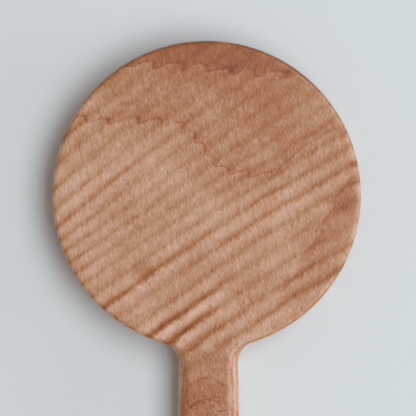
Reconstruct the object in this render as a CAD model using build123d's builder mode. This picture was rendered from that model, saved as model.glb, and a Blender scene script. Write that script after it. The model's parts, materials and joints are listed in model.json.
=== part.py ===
# A round wooden butter mold with a handle, cut and carved from one board.
#
# It lies on its print face at z = 0, with its plain back up. The origin is the centre of the head on the
# print face, and the handle runs along -Y. The board has no joints: head, neck and handle are one piece.

from build123d import *
from math import acos, cos, pi, radians, sin, sqrt
import os

# Board and outline, in millimetres and degrees
thickness = 15.0
head_diameter = 125.0
handle_length = 103.0  # from the rim of the head to the end of the handle
neck_width = 24.2
neck_radius = 9.0  # hollow corner between head and handle, seen from above
handle_flare = 1.0  # how far each side of the handle leans outwards on its way to the end

# Rounded edges, the same on both faces
head_round = 1.8
handle_round = 5.0

# Hole to hang the mold up by
hole_diameter = 6.0
hole_from_end = 13.0
hole_round = 0.8

# Carved print, laid out from the rim inwards: a border of notches, a ring, and a rosette of petals and slim leaves
rim_land = 4.4  # plain wood between the rounded rim and the notches
notch_count = 48
notch_length = 9.7
notch_half_width = 1.6
notch_depth = 1.3
notch_gap = 3.0  # from the notches to the middle of the ring
ring_half_width = 1.0
ring_depth = 1.2
ring_gap = 3.6  # from the middle of the ring to the petal tips
petal_count = 6
petal_half_width = 6.2
petal_depth = 3.0
leaf_length = 20.0
leaf_half_width = 2.6
leaf_depth = 1.6
centre_land = 5.0  # radius of the plain middle that the petals leave

overshoot = 1.0  # how far a cutter starts below the face
round_steps = 6  # steps from section to section through a rounded edge

head_radius = head_diameter / 2
notch_end = head_radius - head_round - rim_land
notch_start = notch_end - notch_length
ring_radius = notch_start - notch_gap
petal_end = ring_radius - ring_gap
petal_length = petal_end - centre_land
leaf_start = petal_end - leaf_length


def set_in(radius, depth):
    """How far a rounded edge of that radius stands in from the full outline, that deep below the face."""
    if depth >= radius:
        return 0.0
    return radius - sqrt(radius**2 - (radius - depth) ** 2)


def handle_line(inset=0.0):
    """The right side of the handle as (outward normal, direction to the end, distance from the origin)."""
    lean = radians(handle_flare)
    outward = Vector(cos(lean), sin(lean))
    along = Vector(sin(lean), -cos(lean))
    neck_y = sqrt((head_radius + neck_radius) ** 2 - (neck_width / 2 + neck_radius) ** 2)
    return outward, along, neck_width / 2 * cos(lean) - neck_y * sin(lean) - inset


def end_centre():
    """Y of the centre of the round end, which the two sides of the handle run into."""
    _, _, distance = handle_line()
    return (distance - head_radius - handle_length) / (1 + sin(radians(handle_flare)))


def outline(depth):
    """The closed outline of the mold at a depth below either face, drawn in the current line."""
    head_inset = set_in(head_round, depth)
    handle_inset = set_in(handle_round, depth)
    head = head_radius - head_inset
    hollow = neck_radius + (head_inset + handle_inset) / 2
    outward, along, distance = handle_line(handle_inset)

    # The hollow corner touches the head and the side of the handle
    corner = outward * (distance + hollow) + along * sqrt((head + hollow) ** 2 - (distance + hollow) ** 2)
    on_head = corner * (head / (head + hollow))
    on_side = corner - outward * hollow
    on_corner = corner + ((on_head + on_side) / 2 - corner).normalized() * hollow

    # The round end takes the handle's full width
    centre = Vector(0, end_centre())
    end_radius = distance - outward.Y * centre.Y
    on_end = centre + outward * end_radius

    def mirrored(point):
        return Vector(-point.X, point.Y)

    ThreePointArc(on_head, (0, head), mirrored(on_head))
    ThreePointArc(mirrored(on_head), mirrored(on_corner), mirrored(on_side))
    Line(mirrored(on_side), mirrored(on_end))
    ThreePointArc(mirrored(on_end), centre - Vector(0, end_radius), on_end)
    Line(on_end, on_side)
    ThreePointArc(on_side, on_corner, on_head)


def section_depths(radius, shallowest):
    """Depths in even steps of angle round an edge of that radius, from the shallowest to where it ends."""
    first = acos((radius - shallowest) / radius)
    angles = [first + (pi / 2 - first) * step / round_steps for step in range(round_steps + 1)]
    return [radius * (1 - cos(angle)) for angle in angles]


def gouge_cut(length, half_width, depth):
    """A leaf-shaped cut along X, V-shaped across: two steep cones that meet at its bottom."""
    arc_radius = ((length / 2) ** 2 + half_width**2) / (2 * half_width)
    slope = half_width / depth
    past_bottom = depth * 0.1
    with BuildPart() as cut:
        for side, mode in ((1, Mode.ADD), (-1, Mode.INTERSECT)):
            with Locations((0, side * (arc_radius - half_width), -overshoot)):
                Cone(
                    arc_radius + slope * overshoot,
                    arc_radius - slope * (depth + past_bottom),
                    overshoot + depth + past_bottom,
                    align=(Align.CENTER, Align.CENTER, Align.MIN),
                    mode=mode,
                )
    return cut.part


petal = gouge_cut(petal_length, petal_half_width, petal_depth)
leaf = gouge_cut(leaf_length, leaf_half_width, leaf_depth)
notch = gouge_cut(notch_length, notch_half_width, notch_depth)

with BuildPart() as butter_mold:
    # Below each face lies a layer in which every edge curves, then one in which only the handle's edge does
    for face_height, inwards in ((0, 1), (thickness, -1)):
        for depths in (section_depths(head_round, 0), section_depths(handle_round, head_round)):
            for depth in depths:
                with BuildSketch(Plane.XY.offset(face_height + inwards * depth)):
                    with BuildLine():
                        outline(depth)
                    make_face()
            loft()

    # The middle of the board has upright sides
    with BuildSketch(Plane.XY.offset(handle_round)):
        with BuildLine():
            outline(handle_round)
        make_face()
    extrude(amount=thickness - 2 * handle_round)

    # Hanging hole, with eased edges
    with Locations((0, -(head_radius + handle_length - hole_from_end), thickness)):
        Hole(hole_diameter / 2)
    hole_edges = butter_mold.edges().filter_by(GeomType.CIRCLE).filter_by(
        lambda edge: abs(edge.radius - hole_diameter / 2) < 0.01
    )
    fillet(hole_edges, hole_round)

    # Rosette: petals, and slim leaves between them
    with PolarLocations((centre_land + petal_end) / 2, petal_count, start_angle=90):
        add(petal, mode=Mode.SUBTRACT)
    with PolarLocations((leaf_start + petal_end) / 2, petal_count, start_angle=90 + 180 / petal_count):
        add(leaf, mode=Mode.SUBTRACT)

    # Ring and border
    with BuildSketch(Plane.XZ):
        with BuildLine():
            Polyline(
                (ring_radius - 2 * ring_half_width, -ring_depth),
                (ring_radius, ring_depth),
                (ring_radius + 2 * ring_half_width, -ring_depth),
                close=True,
            )
        make_face()
    revolve(axis=Axis.Z, mode=Mode.SUBTRACT)
    with PolarLocations((notch_start + notch_end) / 2, notch_count, start_angle=180 / notch_count):
        add(notch, mode=Mode.SUBTRACT)

butter_mold.part.label = "butter_mold"
os.makedirs("parts", exist_ok=True)
export_step(butter_mold.part, "parts/butter_mold.step")
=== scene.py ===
# A one-piece butter mold of curly cherry: head, neck and handle from one board, with a print carved
# underneath. It lies on its print face, back up. Lengths are in metres, but in the wood's section in mm.
import json
from functools import partial
from math import acos, atan2, ceil, cos, pi, radians, sin, sqrt

import bpy
from mathutils import Euler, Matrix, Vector
from mathutils.geometry import delaunay_2d_cdt


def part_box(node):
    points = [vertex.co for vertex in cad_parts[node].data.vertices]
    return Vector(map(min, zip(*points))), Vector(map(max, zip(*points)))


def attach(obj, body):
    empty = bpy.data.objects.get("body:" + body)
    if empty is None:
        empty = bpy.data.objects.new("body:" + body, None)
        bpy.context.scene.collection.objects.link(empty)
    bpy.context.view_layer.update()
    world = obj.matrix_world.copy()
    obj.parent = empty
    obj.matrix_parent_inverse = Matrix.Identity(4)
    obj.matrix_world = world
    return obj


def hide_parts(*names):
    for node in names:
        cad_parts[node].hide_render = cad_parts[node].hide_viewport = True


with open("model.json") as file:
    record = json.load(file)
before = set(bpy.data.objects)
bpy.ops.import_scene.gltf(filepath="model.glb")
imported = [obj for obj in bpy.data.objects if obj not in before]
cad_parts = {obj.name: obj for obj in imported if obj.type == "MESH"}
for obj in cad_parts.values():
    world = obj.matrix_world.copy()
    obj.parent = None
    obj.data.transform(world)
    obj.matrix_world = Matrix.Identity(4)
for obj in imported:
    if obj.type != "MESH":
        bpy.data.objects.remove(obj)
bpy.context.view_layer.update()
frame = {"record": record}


# --- The board --------------------------------------------------------------------------------------------
# One piece of flat-sawn cherry, bandsawn to a disc with a handle and planed to thickness. The rim has a
# small round, and the handle is rounded over with a spokeshave for the hand. Head and handle meet in hollow
# corners.

MM = 0.001
board_low, board_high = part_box("butter_mold")
head_radius = board_high.y
thickness = board_high.z
handle_end = -board_low.y

neck_width = 24.2 * MM
neck_radius = 9.0 * MM
handle_flare = radians(1.0)
head_round = 1.8 * MM
handle_round = 5.0 * MM

head_steps, corner_steps, side_steps, end_steps = 130, 14, 64, 26
round_steps, edge_steps = 8, 4
back_spacing, print_spacing = 1.1 * MM, 2.4 * MM


def set_in(radius, depth):
    """How far a rounded edge stands in from the full outline, at a depth below the face."""
    return radius - sqrt(radius**2 - (radius - depth) ** 2) if depth < radius else 0.0


def arc(centre, radius, start, stop, steps):
    """Points from one angle to another, without the last."""
    angles = (start + (stop - start) * step / steps for step in range(steps))
    return [centre + radius * Vector((cos(angle), sin(angle))) for angle in angles]


def board_outline(depth):
    """The outline at a depth below either face, clockwise from the top of the head."""
    head_inset = set_in(head_round, depth)
    handle_inset = set_in(handle_round, depth)
    radius = head_radius - head_inset
    hollow = neck_radius + (head_inset + handle_inset) / 2
    outward = Vector((cos(handle_flare), sin(handle_flare)))
    along = Vector((sin(handle_flare), -cos(handle_flare)))
    neck_y = sqrt((head_radius + neck_radius) ** 2 - (neck_width / 2 + neck_radius) ** 2)
    full_distance = neck_width / 2 * cos(handle_flare) - neck_y * sin(handle_flare)
    distance = full_distance - handle_inset

    # The hollow corner touches the head and the side of the handle
    corner = outward * (distance + hollow) + along * sqrt((radius + hollow) ** 2 - (distance + hollow) ** 2)
    corner_angle = atan2(corner.y, corner.x)
    end_centre = Vector((0, (full_distance - handle_end) / (1 + sin(handle_flare))))
    end_radius = distance - outward.y * end_centre.y
    side_start = corner - outward * hollow
    side_stop = end_centre + outward * end_radius

    points = arc(Vector((0, 0)), radius, pi / 2, corner_angle, head_steps)
    points += arc(corner, hollow, corner_angle + pi, pi + handle_flare, corner_steps)
    points += [side_start.lerp(side_stop, step / side_steps) for step in range(side_steps)]
    points += arc(end_centre, end_radius, handle_flare, -pi / 2, end_steps)
    points.append(end_centre - Vector((0, end_radius)))
    return points + [Vector((-point.x, point.y)) for point in reversed(points[1:-1])]


def edge_levels():
    """(height, depth below the nearer face) of each ring of points up the edge of the board."""
    deepest = acos((handle_round - head_round) / handle_round)
    depths = [head_round * (1 - cos(pi / 2 * step / round_steps)) for step in range(round_steps)]
    turns = [deepest + (pi / 2 - deepest) * step / edge_steps for step in range(edge_steps + 1)]
    depths += [handle_round * (1 - cos(turn)) for turn in turns]
    flat = thickness - 2 * handle_round
    middle = [handle_round + flat * step / edge_steps for step in range(1, edge_steps)]
    return (
        [(depth, depth) for depth in depths]
        + [(height, handle_round) for height in middle]
        + [(thickness - depth, depth) for depth in reversed(depths)]
    )


def face_points(boundary, spacing):
    """Points in a triangular grid inside the flat of the face, clear of its boundary."""
    inner_head = boundary[0].y - spacing
    inner_side = min(abs(point.x) for point in boundary if point.y < -head_radius - neck_radius) - spacing
    handle_stop = handle_round + neck_width / 2 - handle_end
    columns = ceil(head_radius / spacing)
    row_height = spacing * sqrt(3) / 2
    rows = int((boundary[0].y + handle_end) / row_height)
    points = []
    for row in range(1, rows + 1):
        y = boundary[0].y - row * row_height
        for column in range(-columns, columns + 1):
            point = Vector(((column + row % 2 / 2) * spacing, y))
            on_head = point.length < inner_head
            on_handle = handle_stop < y < 0 and abs(point.x) < inner_side
            if on_head or on_handle:
                points.append(point)
    return points


def board_mesh():
    """The whole board: rings up its edge, and both faces filled."""
    levels = edge_levels()
    vertices, faces = [], []
    for height, depth in levels:
        vertices += [(point.x, point.y, height) for point in board_outline(depth)]
    count = len(vertices) // len(levels)
    for level in range(len(levels) - 1):
        for place in range(count):
            here, beside = level * count + place, level * count + (place + 1) % count
            faces.append((beside, here, here + count, beside + count))

    boundary = board_outline(0)
    last = (len(levels) - 1) * count
    # Keeps the triangles inside the boundary, and joins points nearer than this
    inside, nearest = 1, 0.0001 * MM
    for first, height, spacing, turn in ((0, 0.0, print_spacing, -1), (last, thickness, back_spacing, 1)):
        points = boundary + face_points(boundary, spacing)
        filled = delaunay_2d_cdt(points, [], [list(range(count))], inside, nearest)
        found, _, triangles, originals, _, _ = filled
        index = {}
        for place, point in enumerate(found):
            source = originals[place][0]
            index[place] = first + source if source < count else len(vertices)
            if source >= count:
                vertices.append((point.x, point.y, height))
        faces += [tuple(index[corner] for corner in triangle[::turn]) for triangle in triangles]
    mesh = bpy.data.meshes.new("board")
    mesh.from_pydata(vertices, [], faces)
    return mesh


board = bpy.data.objects.new("board", board_mesh())
bpy.context.scene.collection.objects.link(board)


# --- The print and the hanging hole -----------------------------------------------------------------------
# The print is cut into the underside with a V-gouge, so that it stands raised on the butter: six petals with
# slim leaves between them, a ring, and a border of notches. The hole near the handle's end is drilled, and
# its edges are eased.

rim_land = 4.4 * MM
notch_length = 9.7 * MM
notch_gap = 3.0 * MM
ring_gap = 3.6 * MM
ring_half_width = 1.0 * MM
ring_depth = 1.2 * MM
leaf_length = 20.0 * MM
centre_land = 5.0 * MM
hole_round = 0.8 * MM
notch_end = head_radius - head_round - rim_land
ring_radius = notch_end - notch_length - notch_gap
petal_end = ring_radius - ring_gap
# Count, angle of the first, start, end, half width and depth
gouge_cuts = {
    "petals": (6, radians(90), centre_land, petal_end, 6.2 * MM, 3.0 * MM),
    "leaves": (6, radians(120), petal_end - leaf_length, petal_end, 2.6 * MM, 1.6 * MM),
    "notches": (48, pi / 48, notch_end - notch_length, notch_end, 1.6 * MM, 1.3 * MM),
}
overshoot = 1.0 * MM
past_tip = 1.1  # how deep the cones of a cut run, as a share of its depth
cone_sides, ring_sides, hole_sides = 512, 288, 64
hole_round_steps = 6
crisp_angle = radians(20)
hole = next(mount for mount in frame["record"]["mounts"] if mount["name"] == "hanging_hole")


def add_node(tree, kind, inputs=(), **settings):
    """Adds a node with settings and inputs. Each input is a value, a socket, a node or a list of these."""
    node = tree.nodes.new(kind)
    for name, value in settings.items():
        setattr(node, name, value)
    for key, value in inputs.items() if isinstance(inputs, dict) else enumerate(inputs):
        for source in value if isinstance(value, list) else [value]:
            if isinstance(source, bpy.types.Node):
                source = next(output for output in source.outputs if output.enabled)
            if isinstance(source, bpy.types.NodeSocket):
                tree.links.new(source, node.inputs[key])
            elif source is not None:
                node.inputs[key].default_value = source
    return node


def drill_mesh():
    """What the drill and the easing of the hole's edges take out: circles stacked up through the board."""
    radius = hole["dims"]["r_mm"] * MM
    turns = [pi / 2 * step / hole_round_steps for step in range(hole_round_steps + 1)]
    flare = [(radius + hole_round * (1 - sin(turn)), hole_round * (1 - cos(turn))) for turn in turns]
    widest = radius + hole_round
    profile = [(widest, -overshoot)] + flare
    profile += [(wide, thickness - low) for wide, low in reversed(flare)] + [(widest, thickness + overshoot)]
    x, y, _ = hole["pos_m"]
    angles = [2 * pi * step / hole_sides for step in range(hole_sides)]
    vertices, faces = [], []
    for wide, height in profile:
        vertices += [(x + wide * cos(angle), y + wide * sin(angle), height) for angle in angles]
    for level in range(len(profile) - 1):
        for step in range(hole_sides):
            here, beside = level * hole_sides + step, level * hole_sides + (step + 1) % hole_sides
            faces.append((here, beside, beside + hole_sides, here + hole_sides))
    faces += [tuple(reversed(range(hole_sides))), tuple(range(len(vertices) - hole_sides, len(vertices)))]
    mesh = bpy.data.meshes.new("drill")
    mesh.from_pydata(vertices, [], faces)
    return mesh


def gouge_tree():
    """A ring of equal V-cuts, each the overlap of two steep cones and pointing at the middle of the print."""
    tree = bpy.data.node_groups.new("gouge cuts", "GeometryNodeTree")
    tree.interface.new_socket("Cuts", in_out="OUTPUT", socket_type="NodeSocketGeometry")
    tree.interface.new_socket("Count", in_out="INPUT", socket_type="NodeSocketInt")
    for name in ("First angle", "Start", "End", "Half width", "Depth"):
        tree.interface.new_socket(name, in_out="INPUT", socket_type="NodeSocketFloat")
    sizes = tree.nodes.new("NodeGroupInput").outputs
    half_width, depth = sizes["Half width"], sizes["Depth"]
    add = partial(add_node, tree)

    # An arc through both ends of the cut, half_width out at the middle, and cones that narrow as they go in
    length = add("ShaderNodeMath", (sizes["End"], sizes["Start"]), operation="SUBTRACT")
    half_length = add("ShaderNodeMath", (length, 2.0), operation="DIVIDE")
    middle = add("ShaderNodeMath", (sizes["Start"], half_length), operation="ADD")
    square = add("ShaderNodeMath", (half_length, half_length), operation="MULTIPLY")
    squares = add("ShaderNodeMath", (half_width, half_width, square), operation="MULTIPLY_ADD")
    width = add("ShaderNodeMath", (half_width, 2.0), operation="MULTIPLY")
    arc_radius = add("ShaderNodeMath", (squares, width), operation="DIVIDE")
    slope = add("ShaderNodeMath", (half_width, depth), operation="DIVIDE")
    bottom = add("ShaderNodeMath", (slope, overshoot, arc_radius), operation="MULTIPLY_ADD")
    top = add("ShaderNodeMath", (half_width, -past_tip, arc_radius), operation="MULTIPLY_ADD")
    height = add("ShaderNodeMath", (depth, past_tip, overshoot), operation="MULTIPLY_ADD")
    cone_sizes = {"Vertices": cone_sides, "Radius Top": top, "Radius Bottom": bottom, "Depth": height}
    cone = add("GeometryNodeMeshCone", cone_sizes)
    offset = add("ShaderNodeMath", (arc_radius, half_width), operation="SUBTRACT")
    sides = []
    for sign in (1.0, -1.0):
        aside = add("ShaderNodeMath", (offset, sign), operation="MULTIPLY")
        place = add("ShaderNodeCombineXYZ", (middle, aside, -overshoot))
        sides.append(add("GeometryNodeTransform", {"Geometry": cone, "Translation": place}))
    cut = add("GeometryNodeMeshBoolean", {"Mesh 2": sides}, operation="INTERSECT", solver="MANIFOLD")

    turn = add("ShaderNodeMath", (2 * pi, sizes["Count"]), operation="DIVIDE")
    index = add("GeometryNodeInputIndex")
    angle = add("ShaderNodeMath", (index, turn, sizes["First angle"]), operation="MULTIPLY_ADD")
    points = add("GeometryNodePoints", {"Count": sizes["Count"]})
    rotation = add("ShaderNodeCombineXYZ", {"Z": angle})
    copies = add("GeometryNodeInstanceOnPoints", {"Points": points, "Instance": cut, "Rotation": rotation})
    add("NodeGroupOutput", (add("GeometryNodeRealizeInstances", (copies,)),))
    return tree


def carving_tree(drill, wood):
    """Takes the cuts of the print and the hole out of the board, and leaves their edges crisp."""
    tree = bpy.data.node_groups.new("carving", "GeometryNodeTree")
    tree.interface.new_socket("Mold", in_out="OUTPUT", socket_type="NodeSocketGeometry")
    tree.interface.new_socket("Board", in_out="INPUT", socket_type="NodeSocketGeometry")
    for name in ("Ring radius", "Ring half width", "Ring depth"):
        tree.interface.new_socket(name, in_out="INPUT", socket_type="NodeSocketFloat")
    sizes = tree.nodes.new("NodeGroupInput").outputs
    add = partial(add_node, tree)

    gouge = gouge_tree()
    cutters = []
    for cuts in gouge_cuts.values():
        cutters.append(add("GeometryNodeGroup", (), node_tree=gouge))
        for key, size in enumerate(cuts):
            cutters[-1].inputs[key].default_value = size
    path = add("GeometryNodeCurvePrimitiveCircle", {"Resolution": ring_sides, "Radius": sizes["Ring radius"]})
    wide = add("ShaderNodeMath", (sizes["Ring half width"], 2.0), operation="MULTIPLY")
    groove_sizes = {"Width": wide, "Top Height": sizes["Ring depth"], "Bottom Height": sizes["Ring depth"]}
    groove = add("GeometryNodeCurvePrimitiveQuadrilateral", groove_sizes, mode="KITE")
    cutters.append(add("GeometryNodeCurveToMesh", {"Curve": path, "Profile Curve": groove}))
    cutters.append(add("GeometryNodeObjectInfo", {"Object": drill}).outputs["Geometry"])
    meshes = {"Mesh 1": sizes["Board"], "Mesh 2": cutters}
    carved = add("GeometryNodeMeshBoolean", meshes, operation="DIFFERENCE", solver="MANIFOLD")

    smooth = add("GeometryNodeSetShadeSmooth", (carved, None, True))
    angle = add("GeometryNodeInputMeshEdgeAngle")
    crisp = add("FunctionNodeCompare", (angle, crisp_angle), operation="GREATER_THAN")
    edged = add("GeometryNodeSetShadeSmooth", (smooth, crisp, False), domain="EDGE")
    realized = add("GeometryNodeRealizeInstances", (edged,))
    finished = add("GeometryNodeSetMaterial", {"Geometry": realized, "Material": wood})
    add("NodeGroupOutput", (finished,))
    return tree


# --- Curly cherry -----------------------------------------------------------------------------------------
# Flat-sawn black cherry with a strong curl, sanded fine and rubbed with oil: warm pinkish brown, with a
# satin sheen. The fibres wave to and fro, so the face is light and dark in bands, and each growth ring steps
# where it meets a band. The bands are partly the wood's own colour and partly painted sheen: the crests are
# painted paler for light that the tilted fibres throw back. Ends of fibres drink more oil and are darker.

curl_slope = (0.0847, -0.1206, 0.03)
curl_fan = (-0.000079, -0.0001004, 0.0)
curl_break = (0.034, -0.0824, 0.0)
# How dark the troughs are, in levels of brightness, by the number of the band
first_band, last_band = -9, 10
plain_trough, full_trough = 14.0, 80.0
left_troughs = {-5: 24, 1: 12, 2: 44, 5: 82, 6: 76, 7: 84, 8: 62}
right_troughs = {2: 28, 3: 30, 4: 24, 7: 22, 8: 42}
ring_slope = (0.06, 1.0, -6.2)
ring_bow = 20.0
# A ring's number is about the height up the face where it comes out, and its line is up to 1 strong
first_ring, last_ring = -170.0, 150.0
face_rings = {52: 1.0, 29: 0.85, -74: 0.8, -83: 0.5}
hidden_rings = (-95, -108, -124, -139, -152, 66, 79, 90, 104, 117, 128, 141, 150)
hidden_strength = 0.6
# Middle of each smudge, and how dark it is
smudges = {
    (-26.0, -31.0, 0.0): 24.0,
    (57.0, -4.0, 0.0): 22.0,
    (41.0, -20.0, 0.0): 9.0,
    (52.0, 30.0, 0.0): 8.0,
}
# Wider than real fibres, so that they show
fibre_width, fibre_length, fibre_lean = 0.45, 2.0, radians(7)
bundle_width, bundle_share = 3.5 * fibre_width, 0.48
# The levels of brightness of the first and the last colour
darkest, palest = 80.0, 200.0


def linear(code):
    """An sRGB hex colour as linear RGBA."""
    parts = [int(code[place : place + 2], 16) / 255 for place in (0, 2, 4)]
    return [part / 12.92 if part <= 0.04045 else ((part + 0.055) / 1.055) ** 2.4 for part in parts] + [1.0]


def set_stops(node, stops, interpolation="LINEAR"):
    """Gives a colour ramp its stops, each a place and a grey value or a hex colour."""
    ramp = node.color_ramp
    ramp.interpolation = interpolation
    while len(ramp.elements) < len(stops):
        ramp.elements.new(1.0)
    for element, (position, value) in zip(ramp.elements, sorted(stops)):
        element.position = position
        element.color = linear(value) if isinstance(value, str) else (value, value, value, 1.0)
    return node


def curl_phase(tree, place, x):
    """Where a place lies in the curl: whole numbers are crests, and halves are troughs."""
    add = partial(add_node, tree)
    slope = add("ShaderNodeVectorMath", (place, curl_slope), operation="DOT_PRODUCT")
    fan = add("ShaderNodeVectorMath", (place, curl_fan), operation="DOT_PRODUCT")
    fanned = add("ShaderNodeMath", (fan, x, slope), operation="MULTIPLY_ADD")

    # Bands are out of step on the two sides of a line across the head
    break_offset, slip_per_mm, slip_in_middle = -0.077, -0.00632, 0.462
    across = add("ShaderNodeVectorMath", (place, curl_break), operation="DOT_PRODUCT")
    from_break = add("ShaderNodeMath", (across, break_offset), operation="ADD")
    side = add("ShaderNodeMath", (from_break,), operation="TANH")
    slip = add("ShaderNodeMath", (x, slip_per_mm, slip_in_middle), operation="MULTIPLY_ADD")
    broken = add("ShaderNodeMath", (side, slip, fanned), operation="MULTIPLY_ADD")

    # They waver slowly and quickly, by a share of a band
    slow_size, quick_size, quick_share = 16.0, 4.0, 0.35
    waver_bands, first_crest = 0.32, 0.215
    slow = add("ShaderNodeTexNoise", {"Vector": place, "Scale": 1 / slow_size, "Detail": 1.0})
    quick = add("ShaderNodeTexNoise", {"Vector": place, "Scale": 1 / quick_size, "Detail": 1.0})
    waver = add("ShaderNodeMath", (quick, quick_share, slow), operation="MULTIPLY_ADD")
    centring = first_crest - (1 + quick_share) / 2 * waver_bands
    shift = add("ShaderNodeMath", (waver, waver_bands, centring), operation="MULTIPLY_ADD")
    return add("ShaderNodeMath", (broken, shift), operation="ADD")


def trough_depth(tree, x, y, curl):
    """How dark each band's trough is, in levels: a few are deep to the lower left, and they come and go."""
    add = partial(add_node, tree)
    band = add("ShaderNodeMapRange", (curl, float(first_band), float(last_band), 0.0, 1.0))
    bands = last_band - first_band
    depths = []
    for troughs in (left_troughs, right_troughs):
        stops = [
            ((number + 0.5 - first_band) / bands, troughs.get(number, plain_trough) / full_trough)
            for number in range(first_band + 1, last_band)
        ]
        depths.append(set_stops(add("ShaderNodeValToRGB", (band,)), stops))
    left_to_right = (-8.0, 12.0)
    rightward = add("ShaderNodeMapRange", (x, *left_to_right), interpolation_type="SMOOTHSTEP")
    depth = add("ShaderNodeMix", {0: rightward, 2: depths[0], 3: depths[1]}, data_type="FLOAT")

    # Each fade starts and ends at a place, and goes from one strength to another
    top_fade = (18.0, 44.0, full_trough, 0.6 * full_trough)
    handle_fade = (-54.0, -66.0, 1.0, 0.12)
    left_gain = (-34.0, -54.0, 1.0, 1.9)
    near_top = add("ShaderNodeMapRange", (y, *top_fade), interpolation_type="SMOOTHSTEP")
    on_handle = add("ShaderNodeMapRange", (y, *handle_fade), interpolation_type="SMOOTHSTEP")
    near_left = add("ShaderNodeMapRange", (x, *left_gain), interpolation_type="SMOOTHSTEP")
    up_and_down = add("ShaderNodeMath", (near_top, on_handle), operation="MULTIPLY")
    strength = add("ShaderNodeMath", (up_and_down, near_left), operation="MULTIPLY")

    patches_per_mm, patches_per_band = 0.07, 0.9
    patch_fade = (0.25, 0.75, 0.45, 1.55)
    along = add("ShaderNodeMath", (x, patches_per_mm), operation="MULTIPLY")
    across = add("ShaderNodeMath", (curl, patches_per_band), operation="MULTIPLY")
    stretched = add("ShaderNodeCombineXYZ", (across, along, 0.0))
    patches = add("ShaderNodeTexNoise", {"Vector": stretched, "Scale": 1.0, "Detail": 2.0})
    fade = add("ShaderNodeMapRange", (patches, *patch_fade))
    uneven = add("ShaderNodeMath", (depth, fade), operation="MULTIPLY")
    return add("ShaderNodeMath", (uneven, strength), operation="MULTIPLY")


def ring_height(tree, place, x, y, band):
    """The growth ring at a place, as the height up the face where it comes out, and the lobes it has."""
    add = partial(add_node, tree)

    # Right of the middle the ring lines sag towards the handle, and on the handle they arch
    to_bow, bow_scale = (-18.0, -8.0, 0.0), (1 / 20, 1 / 22, 0.0)
    from_bow = add("ShaderNodeVectorMath", (place, to_bow), operation="ADD")
    in_bows = add("ShaderNodeVectorMath", (from_bow, bow_scale), operation="MULTIPLY")
    squared = add("ShaderNodeVectorMath", (in_bows, in_bows), operation="MULTIPLY")
    fourth = add("ShaderNodeVectorMath", (squared, squared, (1.0, 1.0, 1.0)), operation="MULTIPLY_ADD")
    across, along, _ = add("ShaderNodeSeparateXYZ", (fourth,)).outputs
    bow_share = add("ShaderNodeMath", (across, along), operation="MULTIPLY")
    bow = add("ShaderNodeMath", (ring_bow, bow_share), operation="DIVIDE")
    dipping = add("ShaderNodeVectorMath", (place, ring_slope), operation="DOT_PRODUCT")
    bowed = add("ShaderNodeMath", (dipping, bow), operation="ADD")
    handle_arch = (-58.0, -74.0, 0.0, 0.05)
    arch = add("ShaderNodeMapRange", (y, *handle_arch), interpolation_type="SMOOTHSTEP")
    square = add("ShaderNodeMath", (x, x), operation="MULTIPLY")
    height = add("ShaderNodeMath", (square, arch, bowed), operation="MULTIPLY_ADD")

    # Gentle lobes at the top of the head turn into stairs at the neck
    lobe_stops = [(0.0, 0.3), (0.2, 0.0), (0.45, 0.12), (0.62, 0.55), (0.78, 1.0), (0.9, 0.8), (1.0, 0.3)]
    stair_stops = [(0.0, 0.52), (0.48, 1.0), (0.55, 0.0), (1.0, 0.52)]
    lobe_height = 3.1
    top_to_neck = (-10.0, -48.0)
    stair_fade = (-60.0, -68.0, 7.6, 0.8)
    lobes = set_stops(add("ShaderNodeValToRGB", (band,)), lobe_stops, "B_SPLINE")
    stairs = set_stops(add("ShaderNodeValToRGB", (band,)), stair_stops)
    low = add("ShaderNodeMapRange", (y, *top_to_neck), interpolation_type="SMOOTHSTEP")
    lobed = add("ShaderNodeMath", (lobes, lobe_height, -lobe_height / 2), operation="MULTIPLY_ADD")
    stair = add("ShaderNodeMapRange", (y, *stair_fade), interpolation_type="SMOOTHSTEP")
    centred = add("ShaderNodeMath", (stairs, -0.5), operation="ADD")
    stepped = add("ShaderNodeMath", (centred, stair), operation="MULTIPLY")
    steps = add("ShaderNodeMix", {0: low, 2: lobed, 3: stepped}, data_type="FLOAT")

    slow_size, quick_size, quick_share, waver_height = 18.0, 3.0, 0.25, 5.0
    slow = add("ShaderNodeTexNoise", {"Vector": place, "Scale": 1 / slow_size, "Detail": 1.0})
    quick = add("ShaderNodeTexNoise", {"Vector": place, "Scale": 1 / quick_size, "Detail": 2.0})
    waver = add("ShaderNodeMath", (quick, quick_share, slow), operation="MULTIPLY_ADD")
    centring = -(1 + quick_share) / 2 * waver_height
    shift = add("ShaderNodeMath", (waver, waver_height, centring), operation="MULTIPLY_ADD")
    shifted = add("ShaderNodeMath", (steps, shift), operation="ADD")
    return add("ShaderNodeMath", (height, shifted), operation="ADD"), lobes


def ring_lines(tree, place, height):
    """The dark late wood of the rings, from 0 to 1, stronger and weaker in patches."""
    add = partial(add_node, tree)
    line_core, line_end, patch_size = 0.05, 1.1, 6.0
    patch_fade = (0.38, 0.6, 0.45, 1.0)
    strongest = 0.0
    for ring, strength in (face_rings | dict.fromkeys(hidden_rings, hidden_strength)).items():
        from_ring = add("ShaderNodeMath", (height, -float(ring)), operation="ADD")
        away = add("ShaderNodeMath", (from_ring,), operation="ABSOLUTE")
        edge = (line_core, line_end, strength, 0.0)
        line = add("ShaderNodeMapRange", (away, *edge), interpolation_type="SMOOTHSTEP")
        strongest = add("ShaderNodeMath", (line, strongest), operation="MAXIMUM")
    patches = add("ShaderNodeTexNoise", {"Vector": place, "Scale": 1 / patch_size, "Detail": 1.0})
    broken = add("ShaderNodeMapRange", (patches, *patch_fade), interpolation_type="SMOOTHSTEP")
    return add("ShaderNodeMath", (strongest, broken), operation="MULTIPLY")


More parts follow.
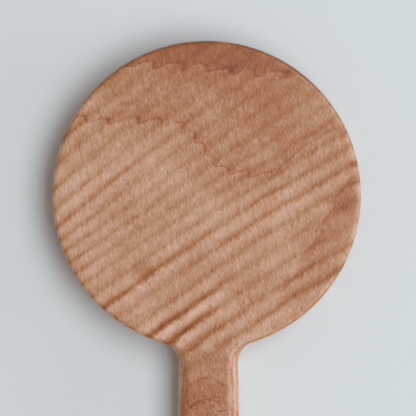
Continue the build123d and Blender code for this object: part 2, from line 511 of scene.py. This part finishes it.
def side_ring(tree, place, y, lobes, level):
    """Darkens the wood beyond a ring that comes out at the right side of the head, and in the smudges."""
    add = partial(add_node, tree)
    across_ring, ring_place, lobe_height = (1.0, -0.56, 0.0), 55.0, 3.0
    wood_darker, line_fade = -13.0, (0.2, 1.6, -12.0, 0.0)
    above_neck = (-46.0, -38.0)
    rightwards = add("ShaderNodeVectorMath", (place, across_ring), operation="DOT_PRODUCT")
    lobed = add("ShaderNodeMath", (lobes, lobe_height, rightwards), operation="MULTIPLY_ADD")
    both_sides = (ring_place - 1.0, ring_place + 1.0)
    beyond = add("ShaderNodeMapRange", (lobed, *both_sides), interpolation_type="SMOOTHSTEP")
    on_head = add("ShaderNodeMapRange", (y, *above_neck), interpolation_type="SMOOTHSTEP")
    zone = add("ShaderNodeMath", (beyond, on_head), operation="MULTIPLY")
    from_ring = add("ShaderNodeMath", (lobed, -ring_place), operation="ADD")
    away = add("ShaderNodeMath", (from_ring,), operation="ABSOLUTE")
    line = add("ShaderNodeMapRange", (away, *line_fade), interpolation_type="SMOOTHSTEP")
    lined = add("ShaderNodeMath", (line, on_head, level), operation="MULTIPLY_ADD")
    darker = add("ShaderNodeMath", (zone, wood_darker, lined), operation="MULTIPLY_ADD")

    smudge_radius, smudge_core = 7.5, 1.0
    for middle, depth in smudges.items():
        away = add("ShaderNodeVectorMath", (place, middle), operation="DISTANCE")
        edge = (smudge_radius, smudge_core, 0.0, -depth)
        smudge = add("ShaderNodeMapRange", (away, *edge), interpolation_type="SMOOTHSTEP")
        darker = add("ShaderNodeMath", (smudge, darker), operation="ADD")
    return darker


def fibres(tree, place):
    """Short pale and dark strokes of the cut fibres, leaning a little to the left, from about -1 to 1."""
    add = partial(add_node, tree)
    stroke = (1.0, fibre_length / fibre_width, 1.0)
    leaning = {"Vector": place, "Rotation": (0.0, 0.0, fibre_lean), "Scale": stroke}
    along = add("ShaderNodeMapping", leaning, vector_type="TEXTURE")
    single = add("ShaderNodeTexNoise", {"Vector": along, "Scale": 1 / fibre_width, "Detail": 1.0})
    bundled = add("ShaderNodeTexNoise", {"Vector": along, "Scale": 1 / bundle_width, "Detail": 1.0})
    both = add("ShaderNodeMath", (bundled, bundle_share, single), operation="MULTIPLY_ADD")
    darkest_noise, palest_noise = 0.35, 1.13
    return add("ShaderNodeMapRange", (both, darkest_noise, palest_noise, -1.0, 1.0))


def curly_cherry():
    """The wood: a level of brightness is added up from rings, bands, fibres and marks, then coloured."""
    wood = bpy.data.materials.new("curly_cherry_oiled")
    wood.use_nodes = True
    tree = wood.node_tree
    tree.nodes.clear()
    add = partial(add_node, tree)

    # Millimetres from the middle of the back
    coordinates = add("ShaderNodeTexCoord")
    to_back = {0: coordinates.outputs["Object"], 1: (1 / MM,) * 3, 2: (0.0, 0.0, -thickness / MM)}
    place = add("ShaderNodeVectorMath", to_back, operation="MULTIPLY_ADD")
    x, y, _ = add("ShaderNodeSeparateXYZ", (place,)).outputs
    strokes = fibres(tree, place)
    curl = curl_phase(tree, place, x)
    fibre_bands = 0.035
    ragged = add("ShaderNodeMath", (strokes, fibre_bands, curl), operation="MULTIPLY_ADD")
    band = add("ShaderNodeMath", (ragged,), operation="FRACT")
    height, lobes = ring_height(tree, place, x, y, band)
    lines = ring_lines(tree, place, height)

    # Each ring zone has its own level, and the bands go up and down from it
    zones = [
        (-170, 126), (-124, 132), (-122, 139), (-96, 134), (-94, 127), (-83.5, 131), (-82.5, 125), (-75, 128),
        (-73.5, 135), (-62.5, 135), (-61.5, 153), (10, 153), (28, 147), (29.5, 135), (35, 143), (51.5, 132),
        (52.8, 111), (65, 112), (67, 130), (89, 120), (91, 136), (116, 122), (118, 140), (150, 126),
    ]
    zone_stops = [((ring - first_ring) / (last_ring - first_ring), tone / palest) for ring, tone in zones]
    ring_place = add("ShaderNodeMapRange", (height, first_ring, last_ring, 0.0, 1.0))
    zone = set_stops(add("ShaderNodeValToRGB", (ring_place,)), zone_stops)
    crest_stops = [
        (0.0, 0.97), (0.12, 0.88), (0.3, 0.55), (0.42, 0.2), (0.5, 0.0), (0.57, 0.06), (0.66, 0.45),
        (0.78, 0.85), (0.9, 1.0), (1.0, 0.97),
    ]
    waves = set_stops(add("ShaderNodeValToRGB", (band,)), crest_stops)
    depth = trough_depth(tree, x, y, curl)
    mean_wave = 0.62
    # The swing is partly the wood's curl figure, and partly painted sheen that makes the crests paler
    swing = add("ShaderNodeMath", (waves, -mean_wave), operation="ADD")
    level = add("ShaderNodeMath", (zone, palest), operation="MULTIPLY")
    level = add("ShaderNodeMath", (swing, depth, level), operation="MULTIPLY_ADD")

    # Fibres, and ring lines that are darker in the troughs
    fibre_levels, line_gain, line_in_trough = 30.0, 18.0, -44.0
    level = add("ShaderNodeMath", (strokes, fibre_levels, level), operation="MULTIPLY_ADD")
    line_levels = add("ShaderNodeMath", (waves, line_gain, line_in_trough), operation="MULTIPLY_ADD")
    level = add("ShaderNodeMath", (lines, line_levels, level), operation="MULTIPLY_ADD")

    # Dark spots on the handle, broad clouds everywhere, a side ring and smudges, and a paler left side
    spot_size, spot_fade, spotted_rings = 1.1, (0.48, 0.66, 6.0, -34.0), (-77.0, -84.0)
    cloud_size, cloud_levels = 22.0, 64.0
    left_fade = (-70.0, 75.0, -1.5, -11.5)
    spot_noise = {"Vector": place, "Scale": 1 / spot_size, "Detail": 2.0, "Roughness": 0.6}
    mottles = add("ShaderNodeTexNoise", spot_noise)
    dark_spots = add("ShaderNodeMapRange", (mottles, *spot_fade), interpolation_type="SMOOTHSTEP")
    spotted = add("ShaderNodeMapRange", (height, *spotted_rings), interpolation_type="SMOOTHSTEP")
    level = add("ShaderNodeMath", (dark_spots, spotted, level), operation="MULTIPLY_ADD")
    cloud_noise = {"Vector": place, "Scale": 1 / cloud_size, "Detail": 4.0, "Roughness": 0.6}
    clouds = add("ShaderNodeTexNoise", cloud_noise)
    cloudy = add("ShaderNodeMath", (clouds, cloud_levels, -cloud_levels / 2), operation="MULTIPLY_ADD")
    level = add("ShaderNodeMath", (level, cloudy), operation="ADD")
    level = side_ring(tree, place, y, lobes, level)
    paler_left = add("ShaderNodeMapRange", (x, *left_fade), interpolation_type="SMOOTHSTEP")
    level = add("ShaderNodeMath", (paler_left, level), operation="ADD")

    # Ends of fibres are darker, and they show where the surface faces along the board
    end_levels = -26.0
    _, facing, _ = add("ShaderNodeSeparateXYZ", (coordinates.outputs["Normal"],)).outputs
    end_grain = add("ShaderNodeMath", (facing, facing), operation="MULTIPLY")
    level = add("ShaderNodeMath", (end_grain, end_levels, level), operation="MULTIPLY_ADD")

    # The colour, a faint relief, and oil that lies thinner in the dark troughs
    tone = add("ShaderNodeMapRange", (level, darkest, palest, 0.0, 1.0))
    tones = [
        (0.0, "813A0F"), (0.25, "A65D29"), (0.4, "AF7448"), (0.6, "C69473"), (0.8, "D9AE97"), (1.0, "E8C8B6"),
    ]
    colour = set_stops(add("ShaderNodeValToRGB", (tone,)), tones)
    rougher, smoother = 0.48, 0.42
    roughness = add("ShaderNodeMapRange", (strokes, -1.0, 1.0, rougher, smoother))
    fibre_relief = 0.4
    relief = add("ShaderNodeMath", (strokes, fibre_relief, waves), operation="MULTIPLY_ADD")
    bump = add("ShaderNodeBump", {"Strength": 0.6, "Distance": 0.03 * MM, "Height": relief})
    from_crest = add("ShaderNodeMath", (waves, -1.0), operation="ADD")
    sunk = add("ShaderNodeMath", (from_crest, depth), operation="MULTIPLY")
    oil_fade = (-30.0, 0.0, 0.1, 1.0)
    sheen = add("ShaderNodeMapRange", (sunk, *oil_fade))
    surface = {
        "Base Color": colour,
        "Roughness": roughness,
        "IOR": 1.47,
        "Normal": bump,
        "Coat Weight": sheen,
        "Coat Roughness": 0.3,
        "Coat Normal": bump,
    }
    add("ShaderNodeOutputMaterial", (add("ShaderNodeBsdfPrincipled", surface),))
    return wood


# --- The finished mold ------------------------------------------------------------------------------------
# The print and the hole are cut out of the board, and what is left becomes one plain mesh in one wood. It
# stands for the whole mold, which has no moving parts.

drill = bpy.data.objects.new("drill", drill_mesh())
bpy.context.scene.collection.objects.link(drill)
carving = board.modifiers.new("carving", "NODES")
carving.node_group = carving_tree(drill, curly_cherry())
ring_sizes = {"Ring radius": ring_radius, "Ring half width": ring_half_width, "Ring depth": ring_depth}
for name, size in ring_sizes.items():
    carving[carving.node_group.interface.items_tree[name].identifier] = size
depsgraph = bpy.context.evaluated_depsgraph_get()
mold_mesh = bpy.data.meshes.new_from_object(board.evaluated_get(depsgraph), depsgraph=depsgraph)
mold = bpy.data.objects.new("mold", mold_mesh)
bpy.context.scene.collection.objects.link(mold)
bpy.data.objects.remove(board)
bpy.data.objects.remove(drill)
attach(mold, "root")
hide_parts("butter_mold")


# --- Table, light and camera ------------------------------------------------------------------------------
# A matt pale table in a plain warm room. Slightly blue daylight comes from a wide window high on the right,
# and low and flat from its sill. The camera looks straight down, and is turned a little.

table_mesh = bpy.data.meshes.new("table")
half = 2.0
corners = [(-half, -half, 0), (half, -half, 0), (half, half, 0), (-half, half, 0)]
table_mesh.from_pydata(corners, [], [(0, 1, 2, 3)])
paint = bpy.data.materials.new("matt_pale_paint")
paint.use_nodes = True
paint_shader = paint.node_tree.nodes["Principled BSDF"]
paint_shader.inputs["Base Color"].default_value = linear("DEE4E6")
paint_shader.inputs["Roughness"].default_value = 0.9
paint_shader.inputs["Specular IOR Level"].default_value = 0.2
table_mesh.materials.append(paint)
table = bpy.data.objects.new("table", table_mesh)
bpy.context.scene.collection.objects.link(table)

daylight = (0.863, 0.948, 1.0)
azimuth = radians(-4)
# Width, height, power, elevation and distance
windows = {
    "window": (2.6, 1.2, 28.6, radians(61), 1.8),
    "sill": (2.7, 0.9, 47.0, radians(9.5), 3.45),
}
for name, (width, height, power, elevation, distance) in windows.items():
    light = bpy.data.lights.new(name, "AREA")
    light.shape = "RECTANGLE"
    light.size = width
    light.size_y = height
    light.energy = power
    light.color = daylight
    light_object = bpy.data.objects.new(name, light)
    bpy.context.scene.collection.objects.link(light_object)
    towards = Vector((cos(elevation) * cos(azimuth), cos(elevation) * sin(azimuth), sin(elevation)))
    light_object.location = towards * distance
    light_object.rotation_euler = towards.to_track_quat("Z", "Y").to_euler()

room = bpy.data.worlds.new("room")
room.use_nodes = True
walls = room.node_tree.nodes["Background"]
walls.inputs["Color"].default_value = linear("F1E3DA")
walls.inputs["Strength"].default_value = 0.38
bpy.context.scene.world = room

view_height = 1.2
view_x, view_y = 0.5 * MM, -5.3 * MM
view_width = 168.3 * MM
view_turn = radians(0.56)
camera = bpy.data.cameras.new("camera")
camera.sensor_width = 36.0
camera.lens = camera.sensor_width * view_height / view_width
camera_object = bpy.data.objects.new("camera", camera)
bpy.context.scene.collection.objects.link(camera_object)
camera_object.location = (view_x, view_y, thickness + view_height)
camera_object.rotation_euler = Euler((0, 0, -view_turn))
bpy.context.scene.camera = camera_object
bpy.context.scene.view_settings.view_transform = "Standard"
